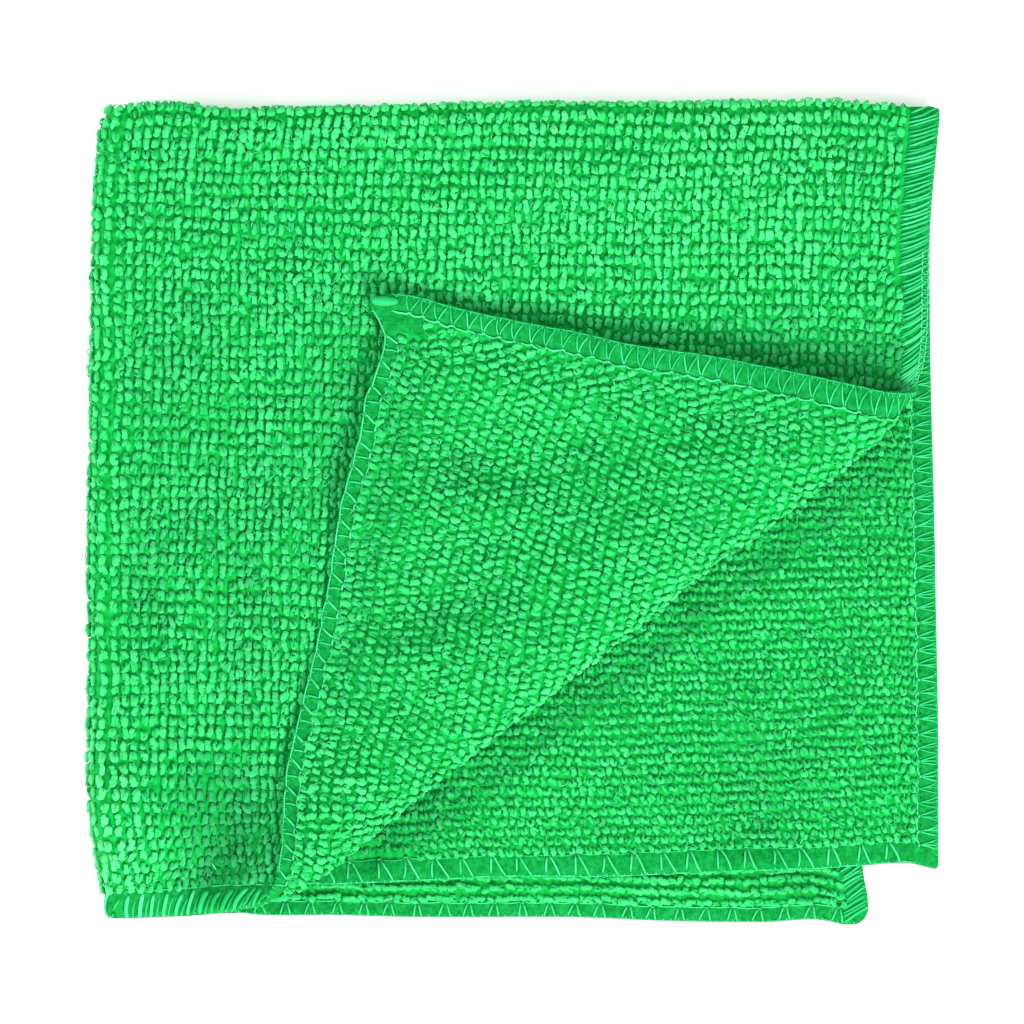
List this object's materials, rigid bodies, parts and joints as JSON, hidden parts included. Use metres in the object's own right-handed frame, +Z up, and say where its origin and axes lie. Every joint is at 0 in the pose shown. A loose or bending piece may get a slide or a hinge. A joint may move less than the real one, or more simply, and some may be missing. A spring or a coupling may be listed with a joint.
{
  "type": "folded microfibre cloth",
  "caption": "Square looped microfibre cleaning cloth with overlocked hems, folded in quarters and lying flat, the near right corner of its top ply turned back over a diagonal fold.",
  "frame": {"origin": "centre of the folded cloth's outline, on the surface it lies on", "axes": "+X to the right, away from the left fold; +Y away from the viewer, towards the far fold; +Z up"},
  "size_m": [0.1602, 0.1546, 0.0131],
  "materials": {
    "microfibre": "bright green looped microfibre knit, matt, with a plain overlocked hem sewn in pale green thread"
  },
  "bodies": {
    "root": {"cloth": "microfibre"}
  },
  "joints": []
}
